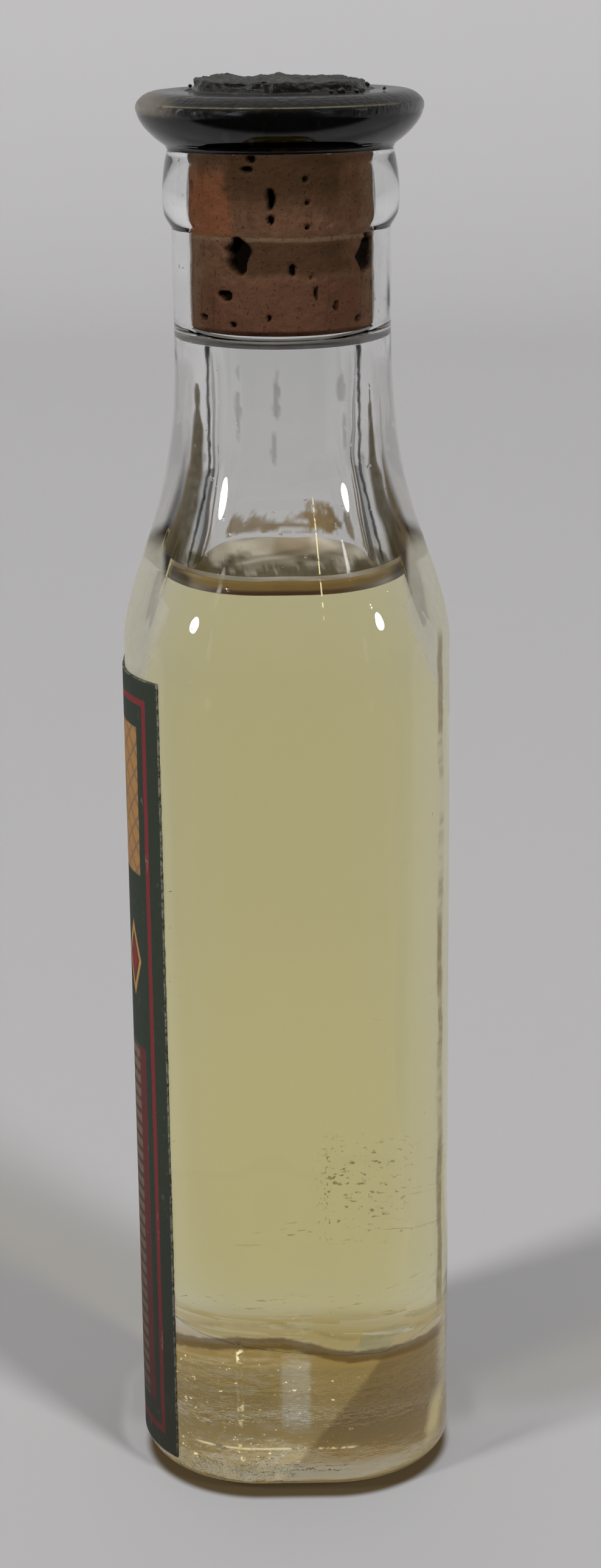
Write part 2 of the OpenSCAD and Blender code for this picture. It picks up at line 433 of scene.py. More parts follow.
def basePaintedLight(f, place):  # painted light and shade seen through the glass: in the heavy base the amber-lit and the shadowed table behind it, a pale patch, a darker rim, a grey band and a dark band where the base meets the liquid; an olive tint on the shoulder's sides
    b = bottle
    cloudy = f.grain(place, 1.6, 4, 0.6)
    x, y, z = f.axes(place)
    front = y.below(-5.0, 1.0)
    warp = (f.grain(place, 0.8, 4, 0.6) - 0.5) * 0.7
    ripples = f.grain(place, 0.42, 4, 0.6, (0.3, 0.3, 1))
    amber = f.mix(ripples.above(0.56, 0.1) * x.below(1.0, 0.8) * 0.8, b["amber"], b["paleAmber"])
    amber = f.mix(ripples.above(0.6, 0.04) * cloudy.above(0.5, 0.1) * 0.5, amber, b["brown"])
    wedge = ((x + warp * 0.5) * 1.3 - z).above(-2.4, 0.35)
    # Painted shadow: a brown wedge where the table's shadow shows through the base
    amber = f.mix(wedge * front, amber, b["brown"])
    # Painted light: a pale patch where the lit table shows through the base
    pane = (x + warp * 0.6).between(*b["paneAcross"], 0.16) * (z + warp).between(*b["paneUp"], 0.25)
    amber = f.mix(pane * cloudy.below(0.62, 0.06) * front, amber, b["pane"])
    amber = f.mix(z.below(b["rimHeight"], 0.25) * (0.4 + 0.5 * cloudy), amber, b["rim"])
    line = lineAt(f, place)
    share = line.below(0, 0.2) * front + z.below(5.4, 1.2) * (1 - front)
    tinted = f.mix(share, b["clear"], amber)
    greyBandShare = line.between(1.05, 1.35, 0.12) * cloudy.above(0.45, 0.12) * front * 0.5
    tinted = f.mix(greyBandShare, tinted, b["haze"])
    tinted = f.mix(line.between(-0.46, 0.34, 0.12) * front * 0.9, tinted, b["line"])
    # Painted light: an olive tint along the shoulder's left and right sides, where the thick glass shows dark
    # olive
    olive = abs(y).below(2.6, 0.4) * z.between(*b["oliveUp"], 0.3)
    return f.mix(olive * (0.5 + 0.4 * cloudy), tinted, b["olive"])


def baseLights(f, place, rough):  # the bright glints in the base, along the front seam and on the lip
    b = bottle
    x, y, z = f.axes(place)
    front = y.below(-4.5, 0.5)
    edge = z.between(*b["edgeUp"], 0.05) * x.between(*b["edgeAcross"], 0.3) * rough.above(0.46, 0.06) * 0.5
    bow = (x - 8.75 + 0.16 * (4.8 - z) + 0.4 * (rough - 0.5)).near(0.4, 0.3)
    bow = bow * z.between(*b["bowUp"], 0.8) * 0.32
    spots = z.between(2.6, 3.6, 0.2).most(z.between(9.3, 10.1, 0.2)).most(z.between(5.0, 6.6, 0.3) * 0.4)
    spots = spots * (x - b["spotAcross"]).near(0.2, 0.08) * f.grain(place, 0.35, 3, 0.6).above(0.54, 0.04)
    flecks = f.grain(place, 0.3, 3, 0.6, (0.6, 0.6, 1)).above(0.68, 0.02)
    flecks = flecks * z.between(*b["fleckUp"], 0.3) * x.below(3.0, 1.5)
    seam = (x - 1.55 - (61.9 - z) * 0.085).near(0.035, 0.02) * z.between(*b["seamUp"], 0.3)
    seam = seam * f.grain(place, 0.5, 3, 0.6).above(0.46, 0.04) * 0.75
    gleam = z.between(*b["gleamUp"], 0.04) * x.between(-6.5, 6.5, 0.6) * rough.above(0.4, 0.2) * 0.14
    return edge.most(bow).most(spots).most(flecks * 0.8).most(seam).most(gleam) * front


def glassBump(f, place, rough):  # crumbs on the lip, pits, and the ripples of the mould low down
    x, y, z = f.axes(place)
    crumbs = f.grain(place, 0.32, 4, 0.7) * z.above(82.75, 0.2)
    pits = f.grain(place, 0.5, 2, 0.5).above(0.74, 0.04) * 0.1
    ripples = f.grain(place, 0.45, 3, 0.6, (0.3, 0.3, 1)) * z.below(8.6, 0.6) * z.above(1.6, 0.4) * 0.5
    mould = (x + 3.5 + 0.5 * (rough - 0.5)).near(0.16, 0.12) * z.below(10.5, 0.8) * y.below(-6, 1)
    lumps = f.grain(place, 1.1, 3, 0.5) * z.below(4.2, 0.8) * x.below(-0.5, 1.2) * 1.6
    return f.bump(crumbs + pits + ripples + mould * 0.4 + lumps, 0.22, 0.6)


def dressOutside(f, place, rough, surface):  # what lies on the glass from the neck to the heel, with the painted light and shade laid over it
    b = bottle
    x, y, z = f.axes(place)
    thin = (abs(y) - (66 - z).most(0) * 0.15).below(3.4, 0.5) * z.between(*b["thinUp"], 0.6)
    surface = f.layer(thin * 0.85, surface, f.shader("Transparent", b["thin"]))
    # Painted light: a pale coat over the shoulder's corners, where the glass wall shows the bright backdrop
    corner = (abs(x) - (56.5 - z).most(0) * 0.38 - z.above(55.9, 0.3) * 0.6).above(6.35, 0.2)
    corner = corner * z.between(*b["cornerUp"], 0.8) * y.below(0, 3) * (0.55 + 0.3 * rough)
    surface = f.layer(corner, surface, f.milk(b["milkyCorner"], b["milkyCorner"], 0.4))
    # Painted light: a pale amber coat on the back of the heel, where the light under the base shows through
    heel = z.below(1.5, 0.4) * y.above(-1.0, 1.5) * 0.75
    surface = f.layer(heel, surface, f.milk(b["milkyHeel"], b["milkyHeel"], 0.4))
    smear = z.above(b["smearFoot"], 0.2) * rough.above(0.30, 0.08)
    wrinkles = f.bump(f.grain(place, 0.4, 5, 0.7), 0.3, 1.0)
    surface = f.layer(smear, surface, f.solid(
        {"Base Color": b["smear"], "Roughness": 0.12, "Specular IOR Level": 0.3, "Normal": wrinkles}))
    dust = z.above(b["dustFoot"], 0.3) * (x + 0.3 * y + 2.0 * (rough - 0.5)).below(-7.7, 0.7)
    surface = f.layer(dust * rough.above(0.42, 0.12) * 0.42, surface, f.shader("Diffuse", b["dust"]))
    bore = (63.2 - z).most(0) * 0.25 + 4.25  # painted shade: how far out the bore's edges look dark through the thick glass, where thin black lines are drawn
    bore = (abs(x) + 0.3 * (rough - 0.5) - bore).near(0.08, 0.05) * z.between(*b["shadeUp"], 0.4)
    bore = bore * y.below(-1.5, 0.5) * (0.5 + 0.6 * rough)
    surface = f.layer(bore, surface, f.shader("Diffuse", b["shade"]))
    wobble = f.grain(place, 4.0, 4, 0.6) * 1.6 - 0.8
    streak = (y + 5.2 + wobble * 0.7).near(0.34, 0.16) * x.above(8.2, 0.2) * z.between(*b["streakUp"], 0.6)
    broken = f.grain(place, 6.0, 4, 0.6, (0.3, 0.3, 1)).above(0.44, 0.08)
    surface = f.layer(
        streak * broken * (0.35 + 0.6 * rough), surface, f.shader("Diffuse", b["streak"]))
    return f.layer(baseLights(f, place, rough), surface, f.shader("Diffuse", b["glint"]))


def glassFinish(name, ior, face):
    f = Finish(name)
    b = bottle
    place = f.place()
    x, y, z = f.axes(place)
    rough = f.grain(place, 0.9, 5, 0.65)
    sockets = {"Base Color": b["clear"], "Roughness": 0.0, "IOR": ior, "Transmission Weight": 1.0}
    if face == "outside":
        sockets["Base Color"] = basePaintedLight(f, place)
        sockets["Normal"] = glassBump(f, place, rough)
    glass = f.solid(sockets)
    if face in b["corkFront"]:  # no shine in front of the cork
        front = z.between(*b["corkGlass"], 0.25) * y.below(b["corkFront"][face], 0.15)
        dull = f.shader("Refraction", b["clear"], {"Roughness": 0.0, "IOR": ior})
        glass = f.layer(front * (0.85 + 0.3 * rough.above(0.5, 0.2)), glass, dull)
    shadowRay = f.node("LightPath")["Is Shadow Ray"]
    surface = f.layer(shadowRay, glass, f.shader("Transparent", b["shadow"]))
    if face == "outside":
        surface = dressOutside(f, place, rough, surface)
    if face == "wet":  # specks on the back wall
        specks = f.grain(place, 0.2, 4, 0.6, (1, 1, 0.7)).above(0.62, 0.04)
        region = x.between(*b["speckAcross"], 0.6) * z.between(*b["speckUp"], 1.0) * y.above(6.5, 0.3)
        low = z.between(11.6, 13.0, 0.4) * f.grain(place, 0.6, 3, 0.6, (0.3, 0.3, 2)).above(0.66, 0.03) * 0.4
        surface = f.layer((specks * region * 0.55).most(low), surface, f.shader("Diffuse", b["settled"]))
    if face == "inside":
        # The dried stains, and the flames that are painted light, drawn on the inner wall
        stainAndFlameColour = f.mix(y.above(0, 1.5), b["frontStain"], b["backStain"])
        share = f.painted("stain") * (0.8 + 0.3 * f.grain(place, 0.5, 4, 0.65))
        surface = f.layer(share, surface, f.shader("Diffuse", stainAndFlameColour))
    if face == "ledge":
        # Painted light: a pale coat over the ledge stands in for the light the real ledge lets through
        surface = f.layer(0.7 + 0.4 * rough, surface, f.milk(b["frosted"], b["frostGlow"], 0.5))
    return f.finish(surface)


def makeBottle():
    b = bottle
    lipTop = b["lipFoot"] + b["lipRise"]
    seat = [(b["seat"], lipTop)] + straight((b["seat"], lipTop), (b["seat"], b["ledgeTop"]), b["seatRows"])
    soft = b["ledgeRound"]
    ledge = straight(seat[-1], (b["bore"] + soft, b["ledgeFoot"] + soft), 3)
    ledge += quarter((b["bore"] + soft, b["ledgeFoot"]), soft, 90, 180, 6)
    inside = insideLine()[::-1]
    bore = straight(ledge[-1], inside[0], b["boreRows"])
    bm = spun(outsideLine() + seat + ledge + bore + inside[1:], b["segments"])
    makeSquare(bm)
    makeUneven(bm)
    footReach = b["half"] - b["footIn"]
    for vert in bm.verts:  # the pressed underside
        radius = away(vert.co)
        if vert.co.z < b["kick"] + 0.05 and radius < footReach:
            fade = ease((footReach - b["footRing"] - radius) / 1.5)
            vert.co.z += b["underWave"] * fade * (0.6 + noise.noise(vert.co / b["underGrain"]))
    # The stain layer holds the dried stains and the painted light of the flames
    layer = bm.verts.layers.float.new("stain")
    for vert in bm.verts:
        if b["bellFoot"] < vert.co.z < b["ledgeFoot"] and away(vert.co) < 7.4:
            vert[layer] = stainAndFlameLightAt(vert.co)
    bm.normal_update()
    wetTop = drink["level"] + drink["climb"]
    floorTop = b["base"] + b["floorRound"]
    kinds = [  # name, index of refraction, which face of the glass it is
        ("glass_clear", b["ior"], "outside"), ("glass_wet", b["ior"] / drink["ior"], "wet"),
        ("glass_inside", b["ior"], "inside"), ("glass_ledge", b["ior"], "ledge"),
        ("glass_bowl", b["bowlIor"], "bowl"),
    ]
    for face in bm.faces:
        middle = face.calc_center_median()
        radius = away(middle)
        within = radius < innerReach(middle) + 0.4
        inward = face.normal.x * middle.x + face.normal.y * middle.y < 0
        floor = b["base"] - 0.5 < middle.z < floorTop and within
        if floor and middle.z < floorTop - 0.5:
            face.material_index = 4
        elif floor or inward and b["base"] < middle.z < wetTop and within:
            face.material_index = 1
        elif radius < b["seat"] - 0.01 and b["ledgeFoot"] < middle.z < b["ledgeTop"] + 0.01:
            face.material_index = 3
        elif within and wetTop < middle.z < b["lipFoot"] and inward:
            face.material_index = 2
    finishes = [glassFinish(*kind) for kind in kinds]
    asPiece("bottle_body", bm, "root", finishes, ["glass_bottle"])


def liquidFinish(name, ior, skin):
    f = Finish(name)
    d = drink
    liquid = f.solid({"Base Color": d["clear"], "Roughness": 0.0, "IOR": ior, "Transmission Weight": 1.0})
    shadowRay = f.node("LightPath")["Is Shadow Ray"]
    surface = f.layer(shadowRay, liquid, f.shader("Transparent", d["clear"]))
    if skin:  # painted pale light on the back of the surface, and near the glass a brown ring that is partly a wet film and partly painted reflection
        place = f.place()
        x, y, z = f.axes(place)
        streaks = f.grain(place, 0.35, 4, 0.6, (0.35, 0.35, 2))
        # Painted light: a pale coat on the back of the surface, where it looks bright
        pale = y.above(-4.2, 1.6) * (0.8 + 0.2 * streaks)
        surface = f.layer(pale, surface, f.shader("Diffuse", d["paleFilm"]))
        # A brown ring near the glass: partly a wet film, partly painted reflection of the liquid under the
        # surface
        edge = z.above(d["level"] + 0.12, 0.12) * (1 - y.above(0, 2) * 0.85)
        cloud = f.grain(place, 2.5, 3, 0.5).above(0.5, 0.15) * 0.3
        cloud = cloud.most(x.between(-0.9, 1.5, 0.5) * y.between(2.6, 6.4, 0.8) * 0.6)
        film = (edge * (0.45 + 0.55 * streaks)).most(cloud)
        surface = f.layer(film, surface, f.shader("Diffuse", d["edgeFilm"]))
    density = max(d["takes"]) * 1.02
    colour = tuple(1 - take / density for take in d["takes"])
    volume = f.node("VolumeAbsorption", {}, {"Color": colour, "Density": density})["Volume"]
    return f.finish(surface, volume)


def makeLiquid():
    d = drink
    wall = [point for point in insideLine(d["film"]) if point[1] < d["level"] + d["climb"]]
    edge = wall[-1]
    steps = d["steps"]
    surface = []
    for i in range(1, steps + 1):
        radius = edge[0] * (1 - (i / steps) ** 1.6) if i < steps else 0
        rise = (edge[1] - d["level"]) * math.exp(-(edge[0] - radius) / d["climbWidth"])
        surface.append((radius, d["level"] + rise))
    bm = spun(wall + surface, bottle["segments"])
    makeSquare(bm)
    makeUneven(bm)
    bm.normal_update()
    for face in bm.faces:
        middle = face.calc_center_median()
        if middle.z > d["level"] - 0.2 and face.normal.z > 0.2 and away(middle) < 8:
            face.material_index = 1
    finishes = [liquidFinish("liquid_body", 1.0, False), liquidFinish("liquid_surface", d["ior"], True)]
    asPiece("liquid_fill", bm, "root", finishes, ["liquid"])


makeBottle()
makeLiquid()


# Cork
corkLow, corkHigh = (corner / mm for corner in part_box("cork"))
stopper = {
    "segments": 300, "rows": 110, "bevel": 0.35,
    "pores": [  # place round the cork from its front in degrees, height, width, length, depth
        (-17, 80.4, 0.5, 0.6, 0.3), (-20, 79.7, 0.7, 0.35, 0.3), (-6, 78.2, 0.55, 1.2, 0.5),
        (-6, 77.2, 0.35, 0.4, 0.3), (14, 79.2, 0.35, 0.35, 0.3), (15, 78.0, 0.25, 0.3, 0.3),
        (15, 76.9, 0.2, 0.25, 0.25), (-27, 75.1, 1.5, 2.3, 0.6), (62, 75.0, 2.6, 2.2, 0.5),
        (70, 73.2, 1.2, 1.5, 0.4), (-35, 72.9, 1.2, 0.55, 0.4), (-72, 72.9, 0.5, 0.6, 0.3),
        (6, 74.3, 0.35, 0.7, 0.3), (20, 73.0, 0.2, 1.2, 0.15), (33, 72.3, 0.4, 0.6, 0.35),
        (-8, 71.7, 0.35, 0.35, 0.25), (17, 73.9, 0.2, 0.2, 0.2), (-52, 71.6, 0.6, 0.35, 0.3),
        (-30, 71.3, 0.4, 0.4, 0.25), (50, 71.4, 0.5, 0.4, 0.3), (68, 71.2, 0.5, 0.4, 0.3),
        (130, 77.6, 1.2, 1.0, 0.4), (170, 74.6, 0.8, 1.6, 0.5), (215, 76.6, 0.5, 0.9, 0.3),
        (250, 73.6, 1.0, 0.6, 0.4), (-60, 78.6, 0.4, 0.8, 0.3), (100, 73.0, 0.4, 0.4, 0.3),
        (150, 72.2, 0.9, 0.5, 0.3), (195, 79.2, 0.5, 0.7, 0.3),
    ],
    "light": (0.26, 0.13, 0.074), "mid": (0.155, 0.08, 0.046), "dark": (0.010, 0.006, 0.004),
    "orange": (0.34, 0.125, 0.06), "olive": (0.088, 0.047, 0.024), "red": (0.185, 0.08, 0.048),
    "straw": (0.34, 0.23, 0.14), "redTop": 73.7, "oliveFoot": 80.0, "seam": (75.98, 76.2),
    "patches": [  # left and right with their softness, low and high with theirs, strength, colour
        (-5.6, -2.6, 0.35, 76.4, 79.4, 0.5, 0.85, "orange"), (-2.7, 3.2, 0.4, 78.0, 80.9, 0.8, 0.85, "olive"),
        (-2.9, 3.4, 0.5, 74.1, 75.9, 0.25, 0.7, "olive"),
    ],
}


def corkFinish():
    s = stopper
    f = Finish("cork_natural")
    place = f.place()
    broad = f.grain(place, 3.0, 4, 0.6)
    fine = f.grain(place, 0.45, 6, 0.65, (1, 1, 0.6))
    speck = f.grain(place, 0.16, 3, 0.6)
    blotch = f.grain(place, 1.3, 4, 0.6)
    x, y, z = f.axes(place)
    across, up = x + (blotch - 0.5) * 1.6, z + (broad - 0.5) * 1.2
    tone = f.mix((broad * 0.7 + fine * 0.6 - 0.15).above(0.5, 0.22), s["mid"], s["light"])
    tone = f.mix(up.below(s["redTop"], 0.3) * 0.6, tone, s["red"])
    tone = f.mix(abs(x).above(4.4, 0.6) * 0.6, tone, s["straw"])
    for left, right, sideSoft, low, high, upSoft, strength, colour in s["patches"]:
        patch = across.between(left, right, sideSoft) * up.between(low, high, upSoft)
        tone = f.mix(patch * strength, tone, s[colour])
    tone = f.mix(up.above(s["oliveFoot"], 0.6) * 0.6, tone, s["olive"])
    # Painted light: a pale line round the cork where the lower edge of the glass collar shows bright through
    # the glass
    tone = f.mix((z + blotch * 0.2).between(*s["seam"], 0.06) * 0.55, tone, s["straw"])
    tone = f.mix(speck.above(0.64, 0.05) * 0.6, tone, s["dark"])
    tone = f.mix(f.grain(place, 0.5, 3, 0.6, (1, 1, 0.16)).above(0.63, 0.05) * 0.35, tone, s["olive"])
    colour = f.mix(f.painted("pore"), tone, s["dark"])
    normal = f.bump(fine * 0.6 + speck * 0.4, 0.12, 0.7)
    return f.finish(f.solid(
        {"Base Color": colour, "Roughness": 0.9, "Specular IOR Level": 0.0, "Normal": normal}))


def makeCork():
    s = stopper
    low, high, radius = corkLow.z, corkHigh.z, corkHigh.x - 0.02
    line = [(0, low)] + straight((0, low), (radius - s["bevel"], low), 20)
    line += straight(line[-1], (radius, low + s["bevel"]), 4)
    line += straight(line[-1], (radius, high), s["rows"])
    line += straight(line[-1], (0, high), 12)
    bm = spun(line, s["segments"])
    layer = bm.verts.layers.float.new("pore")
    for vert in bm.verts:
        reach = away(vert.co)
        if reach < radius - s["bevel"] - 0.5:
            continue
        deepest = 0
        for angle, height, width, length, depth in s["pores"]:
            across = turnsFrom(vert.co, angle) * radius / (width / 2)
            along = (vert.co.z - height) / (length / 2)
            ragged = 1 + 0.45 * noise.noise(vert.co * 1.7)
            inside = 1 - math.hypot(across, along) / ragged
            if inside > 0:
                deepest = max(deepest, min(1, inside * 3) * depth)
                vert[layer] = max(vert[layer], min(1, inside * 5))
        dents = 0.05 * (noise.noise(vert.co * 1.1) - 0.3) + 0.03 * (noise.noise(vert.co * 4) - 0.4)
        inward = max(0, deepest - dents) if reach > radius - 0.1 else 0
        vert.co.x *= 1 - inward / reach
        vert.co.y *= 1 - inward / reach
    asPiece("cork_stopper", bm, "stopper", [corkFinish()], ["cork"])


makeCork()


# Black wax
waxLow, waxHigh = (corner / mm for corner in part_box("wax_seal"))
wax = {
    "grip": 0.02, "segments": 260, "capRadius": 4.9, "capRound": 0.2, "lump": 0.2, "tilt": 0.022,
    "black": (0.009, 0.008, 0.007), "dust": (0.052, 0.054, 0.048), "pale": (0.11, 0.11, 0.10),
    "pressed": (0.006, 0.005, 0.0045), "tarnish": (0.035, 0.027, 0.012),
    "crumbs": [  # place round the lip in degrees, distance out, size
        (35, 5.9, 0.42), (42, 6.3, 0.3), (28, 6.0, 0.26), (50, 5.9, 0.3), (-14, 3.6, 0.34), (-17, 3.9, 0.2),
        (120, 5.8, 0.3), (-120, 5.9, 0.25), (160, 6.0, 0.3), (70, 6.2, 0.22),
    ],
}


def waxFinish():
    f = Finish("wax_black")
    place = f.place()
    facingUp = f.axes(f.node("NewGeometry")["Normal"])[2]
    broad = f.grain(place, 1.6, 5, 0.6)
    fine = f.grain(place, 0.3, 5, 0.6)
    top = f.axes(place)[2].above(waxHigh.z - 0.75, 0.05)
    dusty = facingUp.above(0.62, 0.25) * (broad * 1.1 + fine * 0.5 - 0.2) * top
    powder = fine.above(0.58, 0.08) * facingUp.above(0.7, 0.2) * 0.5 * top
    colour = f.mix(powder, f.mix(dusty, wax["black"], wax["dust"]), wax["pale"])
    normal = f.bump((broad * 0.5 + fine * 0.5) * top, 0.2, 0.9)
    return f.finish(f.solid({
        "Base Color": colour, "Roughness": 0.16 + dusty * 0.7, "Specular IOR Level": 0.35, "Normal": normal}))


def pressedFinish():  # the wax that the glass covers
    f = Finish("wax_pressed")
    grain = f.grain(f.place(), 1.2, 3, 0.5)
    colour = f.mix(grain.above(0.66, 0.06) * 0.5, wax["pressed"], wax["tarnish"])
    return f.finish(f.solid({"Base Color": colour, "Roughness": 0.6, "Specular IOR Level": 0.0}))


def makeWax():
    w = wax
    low, top = waxLow.z + 0.02, waxHigh.z
    lipTop = bottle["lipFoot"] + bottle["lipRise"]
    outer = bottle["seat"] + w["grip"]
    line = [(0, low)] + straight((0, low), (outer, low), 16)
    line += straight(line[-1], (outer, lipTop - 0.05), 24)
    line += straight(line[-1], (w["capRadius"], lipTop + 0.02), 3)
    line += straight(line[-1], (w["capRadius"], top - w["capRound"]), 6)
    line += quarter((w["capRadius"] - w["capRound"], top - w["capRound"]), w["capRound"], 0, 90, 5)
    line += straight(line[-1], (0, top), 60)
    bm = spun(line, w["segments"])
    bm.normal_update()
    for vert in bm.verts:
        if vert.co.z > lipTop + 0.01:
            share = ease((vert.co.z - lipTop) / 0.3)
            rough = noise.noise(vert.co * 0.55) + 0.6 * noise.noise(vert.co * 1.7)
            rough += 0.35 * noise.noise(vert.co * 4.2)
            vert.co += vert.normal * w["lump"] * share * (rough - 0.35)
            vert.co.z -= w["tilt"] * share * (vert.co.x + 2.5)
    for face in bm.faces:
        face.material_index = 1 if face.calc_center_median().z < lipTop - 0.06 else 0
    for angle, out, size in w["crumbs"]:
        turn = math.radians(angle)
        centre = Vector((out * math.sin(turn), -out * math.cos(turn), lipTop + 0.1))
        centre.z += 0.45 if out < w["capRadius"] else 0
        made = bmesh.ops.create_icosphere(bm, subdivisions=3, radius=size / 2)["verts"]
        for vert in made:
            vert.co *= 1 + 0.5 * noise.noise(vert.co * 6 + centre)
            vert.co.z *= 0.8
            vert.co += centre
    asPiece("wax_plug", bm, "stopper", [waxFinish(), pressedFinish()], ["wax_seal"])


makeWax()


# Paper label
labelLow, labelHigh = (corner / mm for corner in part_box("label"))
label = {
    "lift": -0.012, "thick": 0.15, "rows": 160, "across": 130, "wrap": 2.1, "ragged": 0.05, "worn": 0.3,
    "green": (0.020, 0.027, 0.018), "faded": (0.05, 0.06, 0.045), "red": (0.19, 0.018, 0.024),
    "tan": (0.25, 0.125, 0.04), "gold": (0.36, 0.19, 0.06), "clay": (0.14, 0.09, 0.065),
    "wine": (0.10, 0.020, 0.022), "paper": (0.40, 0.35, 0.27), "dirt": (0.018, 0.012, 0.009),
    "upper": (37.5, 46.6), "middle": (28.5, 35.5), "lower": (3.0, 26.5), "side": 2.3, "frame": (1.2, 1.6),
    "roundel": 3.3, "ring": (2.6, 2.95), "leafReach": 2.3, "leafStep": 1.3,
    "latticeStep": 1.5, "lozenges": 4, "lozengeHalf": 2.8, "barStep": 0.85, "stripe": 0.9,
}


def labelFinish(wide, tall):
    l = label
    f = Finish("label_paper")
    place = f.place()
    fibre = f.grain(place, 0.35, 6, 0.7)
    worn = f.grain(place, 2.2, 5, 0.65)
    scratch = f.grain(place, 0.5, 4, 0.7, (1, 1, 0.2))
    across = f.painted("around") + (worn - 0.5) * 0.15
    up = f.axes(place)[2] - labelLow.z + (worn - 0.5) * 0.15
    rim = across.least(wide - across).least(up.least(tall - up))
    middle = across - wide / 2
    within = across.between(l["side"], wide - l["side"], 0.05)
    colour = f.mix(fibre * 0.3, l["green"], l["faded"])
    lattice = abs((across + up).repeat(l["latticeStep"]) - 0.5).above(0.40, 0.03).most(
        abs((up - across + 40).repeat(l["latticeStep"]) - 0.5).above(0.40, 0.03))
    upper = f.mix(lattice * 0.7, f.mix(worn, l["tan"], l["gold"]), l["clay"])
    colour = f.mix(up.between(*l["upper"], 0.06) * within, colour, upper)
    fromCentre = up - sum(l["upper"]) / 2
    roundel = f.reach(f.vector(middle, fromCentre))
    colour = f.mix(roundel.below(l["roundel"], 0.06), colour, l["green"])
    colour = f.mix(roundel.between(*l["ring"], 0.04), colour, l["gold"])
    leaf = (abs(middle.repeat(l["leafStep"]) - 0.5) * 2 + abs(fromCentre) * 0.6).below(1, 0.1)
    colour = f.mix(leaf * roundel.below(l["leafReach"], 0.05), colour, l["tan"])
    step = (wide - 2 * l["side"]) / l["lozenges"]
    lozenge = abs((across - l["side"]).repeat(step) - 0.5) * 2
    lozenge = lozenge + abs(up - sum(l["middle"]) / 2) * (1 / l["lozengeHalf"])
    band = up.between(*l["middle"], 0.06) * within
    colour = f.mix(band * lozenge.between(0.62, 0.86, 0.03), colour, l["gold"])
    colour = f.mix(band * lozenge.below(0.45, 0.04), colour, l["red"])
    bars = abs(up.repeat(l["barStep"]) - 0.5).above(0.3, 0.06) * scratch.above(0.36, 0.05)
    lower = f.mix(bars * 0.75, l["clay"], l["green"])
    lower = f.mix(across.between(l["side"], l["side"] + l["stripe"], 0.05), lower, l["wine"])
    colour = f.mix(up.between(*l["lower"], 0.06) * within, colour, lower)
    colour = f.mix(rim.between(*l["frame"], 0.05) * (0.6 + 0.4 * fibre), colour, l["red"])
    scuffs = scratch.above(0.68, 0.04) * 0.35 + rim.below(0.06, 0.05) * fibre.above(0.5, 0.1) * 0.4
    colour = f.mix(scuffs, colour, l["paper"])
    # Darker towards the bottom
    colour = f.mix(up.below(12, 14) * (0.3 + 0.5 * worn), colour, l["dirt"])
    normal = f.bump(fibre, 0.05, 0.6)
    return f.finish(f.solid(
        {"Base Color": colour, "Roughness": 0.75, "Specular IOR Level": 0.25, "Normal": normal}))


def labelOutline(skin):  # points round the left side, from the front edge to the back edge
    b = bottle
    half = b["half"] + skin
    edge = -b["half"] + label["wrap"]
    start = math.atan2(-math.sqrt((half - b["flat"]) ** 2 - (edge + b["flat"]) ** 2) - b["flat"], edge)
    turn = 2 * (math.pi + start)
    points = []
    for i in range(label["across"] + 1):
        angle = start - turn * i / label["across"]
        reach = squareReach(angle, half, b["flat"])
        points.append((reach * math.cos(angle), reach * math.sin(angle)))
    return points


def makeLabel():
    l = label
    low, high = labelLow.z, labelHigh.z
    bm = bmesh.new()
    points = labelOutline(l["lift"] + l["thick"])
    verts = [bm.verts.new((px, py, low)) for px, py in points]
    edges = [bm.edges.new(pair) for pair in zip(verts, verts[1:])]
    for row in range(l["rows"]):
        made = bmesh.ops.extrude_edge_only(bm, edges=edges)["geom"]
        edges = [g for g in made if isinstance(g, bmesh.types.BMEdge)]
        fresh = [g for g in made if isinstance(g, bmesh.types.BMVert)]
        bmesh.ops.translate(bm, vec=(0, 0, (high - low) / l["rows"]), verts=fresh)
    bmesh.ops.recalc_face_normals(bm, faces=bm.faces)
    outward = sum(face.normal.dot(face.calc_center_median()) for face in bm.faces)
    if outward < 0:
        bmesh.ops.reverse_faces(bm, faces=bm.faces)
    layer = bm.verts.layers.float.new("around")
    reach = [0.0]
    for first, second in zip(points, points[1:]):
        reach.append(reach[-1] + math.dist(first, second))
    inwards = Vector((points[1][0] - points[0][0], points[1][1] - points[0][1], 0)).normalized()
    for vert in bm.verts:  # the arc from the front edge, and ragged edges
        nearest = min(range(len(points)), key=lambda i: math.dist(points[i], vert.co.xy))
        vert[layer] = reach[nearest]
        edge = min(reach[nearest], reach[-1] - reach[nearest])
        if edge < l["worn"]:
            along = inwards.copy()
            if nearest > len(points) / 2:
                along.y *= -1
            ragged = 1 + noise.noise(Vector((0, nearest, vert.co.z * 1.7)))
            vert.co += along * l["ragged"] * ragged * (1 - edge / l["worn"])
    bmesh.ops.solidify(bm, geom=bm.faces[:], thickness=l["thick"])
    asPiece("side_label", bm, "root", [labelFinish(reach[-1], high - low)], ["label"])


makeLabel()


